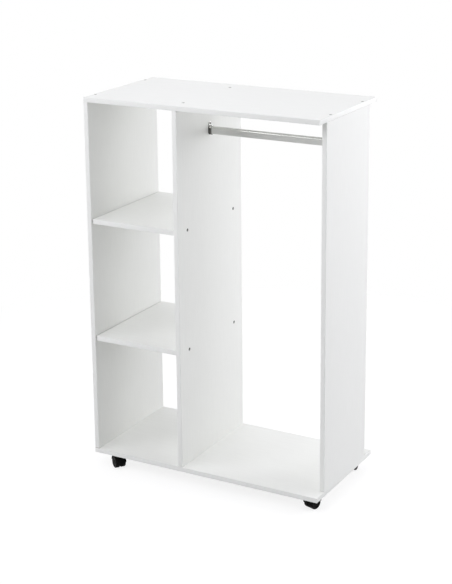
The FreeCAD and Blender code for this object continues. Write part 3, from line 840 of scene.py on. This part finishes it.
def hood():
    """Swivelling fork: guard, web and rib between the wheels, neck and boss round the kingpin.

    The welded forms step back from each other, so that no two faces lie in one plane.
    """
    web_half = WHEEL_LOW.x - WEB_GAP
    boss = -HOOD_LOW.y
    boss_low = WHEEL_RADIUS + GUARD_RADIUS - GUARD_THICKNESS
    pin_hole_end = PIN_LOW.z - PIN_HOLE_OVERRUN
    neck_end = pin_hole_end - GUARD_THICKNESS
    web = axle_bar(WHEEL_RADIUS - WEB_MARGIN, web_half, FINE_TURN_STEPS)
    ease(web, MOULDED_ROUND, lambda middle: abs(abs(middle.x) - web_half) < ON_PLANE)
    crest_half = web_half - MOULD_STEP
    crest = axle_bar(GUARD_RADIUS - GUARD_THICKNESS / 2, crest_half, FINE_TURN_STEPS)
    cut_below(crest, GUARD_LEVEL + UP * MOULD_STEP)
    rib_half = crest_half - MOULD_STEP
    rib_face = -NECK_RADIUS - MOULD_STEP
    rib = block((-rib_half, rib_face, GUARD_LEVEL.z + 2 * MOULD_STEP),
                (rib_half, AXLE_PLACE.y, boss_low + MOULD_STEP))
    ease(rib, MOULDED_ROUND, lambda middle: abs(middle.y - rib_face) < ON_PLANE)
    neck = turned([
        (0, neck_end), (NECK_RADIUS - MOULDED_ROUND, neck_end), (NECK_RADIUS, neck_end + MOULDED_ROUND),
        (NECK_RADIUS, boss_low), (boss, boss_low),
        *arc((boss - MOULDED_ROUND, HOOD_HIGH.z - MOULDED_ROUND), MOULDED_ROUND, 0, 90, BOSS_STEPS),
        (0, HOOD_HIGH.z)])
    whole = guard()
    for part in (web, crest, rib, neck):
        carve(whole, part, "UNION")
    carve(whole, bar(PIN_RADIUS + PIN_ROOM, (0, 0, pin_hole_end), 2 * (HOOD_HIGH.z - pin_hole_end)))
    carve(whole, axle_bar(AXLE_RADIUS + AXLE_ROOM, 2 * web_half))
    return whole


def plate(corner):
    """Mounting plate with rounded corners and holes for the kingpin and the screws."""
    node = corner + "_castor_plate"
    low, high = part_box(node)
    sheet = block(low, high)
    middle = (low + high) / 2
    half = high.z - middle.z
    ease(sheet, PLATE_CORNER, lambda point: abs(point.z - middle.z) < ON_PLANE, PLATE_CORNER_SEGMENTS)
    ease(sheet, PLATE_ROUND, lambda point: abs(abs(point.z - middle.z) - half) < ON_PLANE,
         PLATE_ROUND_SEGMENTS)
    below = low.z - (high.z - low.z)
    depth = 3 * (high.z - low.z)
    for place in screw_places(corner + "_castor_screws"):
        carve(sheet, bar(SCREW_SHANK / 2 + HOLE_ROOM, (*place.translation.xy, below), depth))
    carve(sheet, bar(PIN_RADIUS + PIN_ROOM, (*middle.xy, below), depth))
    fit(sheet, node, "pressing", CASTOR_STEEL)


def castors():
    """Four castors from one wheel and one hood."""
    wheel_master = wheel()
    hood_master = hood()
    half_turn = (Matrix.Translation(AXLE_PLACE) @ Matrix.Rotation(math.pi, 4, "Z")
                 @ Matrix.Translation(-AXLE_PLACE))
    for corner in CORNERS:
        castor = corner + "_castor"
        place = castor_place(corner)
        plate(corner)
        screw_group(castor + "_screws", pan_screw, SCREW_STEEL)
        fit(copy_of(hood_master, place), castor + "_hood", "moulding", HOOD_PLASTIC)
        fit(copy_of(wheel_master, place), castor + "_wheel_right", "moulding", WHEEL_PLASTIC)
        fit(copy_of(wheel_master, place @ half_turn), castor + "_wheel_left", "moulding", WHEEL_PLASTIC)
        for pin in ("_kingpin", "_axle"):
            coat(NODES[castor + pin], CASTOR_STEEL)
    discard(wheel_master, hood_master)


castors()


# Floor, light and camera

def backdrop_mix(tree, plain, shown):
    """Shader that a camera, a mirror or clear glass sees, and the plain one that lights the object."""
    path = add(tree, "ShaderNodeLightPath")
    seen = path.outputs["Is Camera Ray"]
    for ray in ("Is Glossy Ray", "Is Transmission Ray"):
        seen = add(tree, "ShaderNodeMath", {0: seen, 1: path.outputs[ray]}, operation="MAXIMUM").outputs[0]
    return add(tree, "ShaderNodeMixShader", {0: seen, 1: plain, 2: shown}).outputs[0]


FLOOR_SIZE = 30
FLOOR_TONE = 0.80
FLOOR_SHADOW_SHARE = 0.26
FLOOR_GLOW_NEAR = 0.81
FLOOR_NEAR = 0.45
FLOOR_FAR = 1.9
WORLD_LEVEL = 0.16
COOL_WHITE = (0.985, 0.985, 1.02)


def floor():
    """Pale floor that shows a faint shadow near the object and fades to white away from it."""
    deselect()
    bpy.ops.mesh.primitive_plane_add(size=FLOOR_SIZE)
    ground = bpy.context.active_object
    ground.name = "floor"
    material = bpy.data.materials.new("pale_floor")
    material.use_nodes = True
    tree = material.node_tree
    tree.nodes.remove(tree.nodes["Principled BSDF"])
    plain = add(tree, "ShaderNodeBsdfDiffuse", {"Color": (FLOOR_TONE, FLOOR_TONE, FLOOR_TONE, 1)})
    place = add(tree, "ShaderNodeTexCoord").outputs["Object"]
    away = add(tree, "ShaderNodeVectorMath", {0: place}, operation="LENGTH").outputs["Value"]

    def fade(near, far):
        """Number that changes with the distance from the object."""
        return add(tree, "ShaderNodeMapRange", {
            "Value": away, "From Min": FLOOR_NEAR, "From Max": FLOOR_FAR,
            "To Min": near, "To Max": far}).outputs["Result"]

    share = add(tree, "ShaderNodeBsdfDiffuse", {"Color": fade(FLOOR_SHADOW_SHARE, 0)})
    glow = add(tree, "ShaderNodeEmission", {"Color": (1, 1, 1, 1), "Strength": fade(FLOOR_GLOW_NEAR, 1)})
    shown = add(tree, "ShaderNodeAddShader", {0: share.outputs[0], 1: glow.outputs[0]})
    surface = backdrop_mix(tree, plain.outputs[0], shown.outputs[0])
    tree.links.new(surface, tree.nodes["Material Output"].inputs["Surface"])
    ground.data.materials.append(material)


def surroundings():
    """Soft light from all round, seen as plain white."""
    world = bpy.data.worlds.new("studio")
    bpy.context.scene.world = world
    world.use_nodes = True
    tree = world.node_tree
    plain = tree.nodes["Background"]
    plain.inputs["Color"].default_value = (*COOL_WHITE, 1)
    plain.inputs["Strength"].default_value = WORLD_LEVEL
    shown = add(tree, "ShaderNodeBackground", {"Color": (1, 1, 1, 1), "Strength": 1.0})
    surface = backdrop_mix(tree, plain.outputs[0], shown.outputs[0])
    tree.links.new(surface, tree.nodes["World Output"].inputs["Surface"])


def softbox(name, place, aim, width, height, watts):
    """Lamp with a wide face, out of the camera's sight."""
    lamp = bpy.data.lights.new(name, "AREA")
    lamp.shape = "RECTANGLE"
    lamp.size = width
    lamp.size_y = height
    lamp.energy = watts
    lamp.color = COOL_WHITE
    holder = bpy.data.objects.new(name, lamp)
    bpy.context.scene.collection.objects.link(holder)
    holder.location = place
    holder.visible_camera = False
    holder.rotation_euler = (Vector(aim) - Vector(place)).to_track_quat("-Z", "Y").to_euler()


# Place, aim, width, height and watts of each lamp
LAMPS = {
    "overhead": ((0.2, 0.2, 3.4), (0, 0, 1.2), 3.0, 3.0, 22.0),
    "rear": ((0.3, 3.0, 1.6), (0, 0, 0.7), 5.0, 3.0, 37.5),
    "rear_left": ((-2.6, 2.2, 1.8), (0, 0, 0.7), 2.4, 2.4, 20.0),
    "rear_right": ((2.6, 2.2, 1.8), (0, 0, 0.7), 2.4, 2.4, 29.0),
    "rear_right_low": ((2.2, 2.6, 0.8), (0, 0, 0.5), 1.6, 1.2, 20.4),
    "right": ((2.0, 0.2, 1.6), (0.4, 0, 1.1), 1.2, 1.2, 8.4),
    "front": ((0.2, -2.6, 3.4), (0, 0, 0.5), 2.4, 2.4, 49.5),
    "front_left": ((-2.8, -2.8, 2.2), (0, 0, 0.6), 2.4, 2.4, 61.0),
}

CAMERA_PLACE = (2.1459, -3.8552, 2.0455)
CAMERA_YAW = math.radians(29.018)
CAMERA_PITCH = math.radians(14.931)
CAMERA_ROLL = math.radians(-0.504)
IMAGE_WIDTH, IMAGE_HEIGHT = 452, 584
FOCAL_PIXELS = 1470.3
CENTRE_PIXEL = (232.37, 210.0)
SENSOR = 36.0


def camera():
    """Camera fitted to the edges in the photograph."""
    data = bpy.data.cameras.new("camera")
    data.sensor_width = SENSOR
    data.lens = FOCAL_PIXELS / IMAGE_HEIGHT * SENSOR
    data.shift_x = (IMAGE_WIDTH / 2 - CENTRE_PIXEL[0]) / IMAGE_HEIGHT
    data.shift_y = (CENTRE_PIXEL[1] - IMAGE_HEIGHT / 2) / IMAGE_HEIGHT
    holder = bpy.data.objects.new("camera", data)
    bpy.context.scene.collection.objects.link(holder)
    turn = (Matrix.Rotation(CAMERA_YAW, 4, "Z") @ Matrix.Rotation(math.pi / 2 - CAMERA_PITCH, 4, "X")
            @ Matrix.Rotation(CAMERA_ROLL, 4, "Z"))
    holder.matrix_world = Matrix.Translation(CAMERA_PLACE) @ turn
    bpy.context.scene.camera = holder


floor()
surroundings()
for name, lamp in LAMPS.items():
    softbox(name, *lamp)
camera()
bpy.context.scene.view_settings.view_transform = "Standard"
